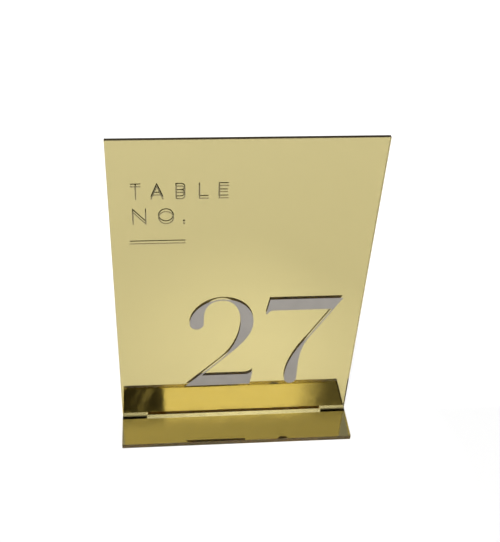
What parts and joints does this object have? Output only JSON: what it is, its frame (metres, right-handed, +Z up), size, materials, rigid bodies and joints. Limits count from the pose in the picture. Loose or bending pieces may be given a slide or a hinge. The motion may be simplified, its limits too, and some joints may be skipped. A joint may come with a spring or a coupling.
{
  "type": "table number holder",
  "caption": "Upright gold mirror acrylic sign with a printed number, whose tab drops into a slotted base.",
  "frame": {"origin": "centre of the underside of the base, which rests on the table", "axes": "+Z up, -Y towards the viewer, the way the sign faces, +X to the viewer's right"},
  "size_m": [0.127, 0.044, 0.1808],
  "materials": {
    "sign_acrylic": "polished, amber tinted, transparent",
    "base_acrylic": "polished, amber tinted, transparent",
    "mirror_film": "mirror",
    "print": "opaque satin grey printing ink",
    "back_paint": "matt protective paint"
  },
  "bodies": {
    "base": {"base_acrylic": "base_acrylic", "base_mirror_film": "mirror_film", "base_back_paint": "back_paint"},
    "sign": {"sign_acrylic": "sign_acrylic", "sign_mirror_film": "mirror_film", "sign_back_paint": "back_paint", "printed_number": "print", "printed_lettering": "print"}
  },
  "joints": [
    {"name": "sign_lift", "type": "slide", "parent": "base", "child": "sign", "axis": [0, 0, 1], "range_m": [0, 0.025]}
  ]
}
